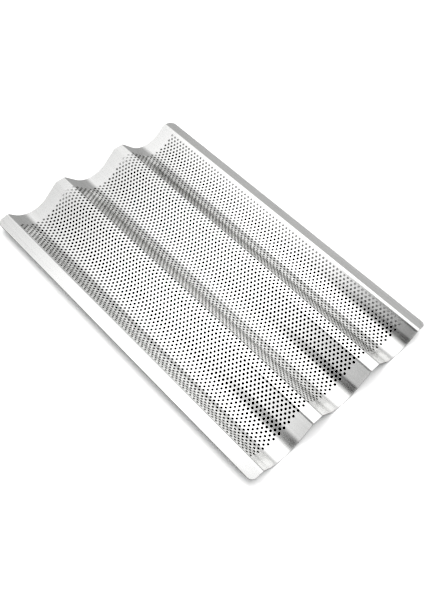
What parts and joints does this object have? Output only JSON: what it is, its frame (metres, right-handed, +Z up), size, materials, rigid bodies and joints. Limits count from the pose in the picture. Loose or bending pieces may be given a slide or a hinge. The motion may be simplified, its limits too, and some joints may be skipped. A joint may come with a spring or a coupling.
{
  "type": "baguette tray",
  "caption": "Perforated steel baking tray pressed into round parallel troughs, with flat-topped ridges and plain sloping side flanges.",
  "frame": {"origin": "on the surface the tray stands on, under the middle of the tray", "axes": "+X along the troughs, +Y across them, +Z up"},
  "size_m": [0.38, 0.2442, 0.0226],
  "materials": {
    "steel_sheet": "satin"
  },
  "bodies": {
    "root": {"left_flange": "steel_sheet", "left_trough": "steel_sheet", "left_ridge": "steel_sheet", "middle_trough": "steel_sheet", "right_ridge": "steel_sheet", "right_trough": "steel_sheet", "right_flange": "steel_sheet"}
  },
  "joints": []
}
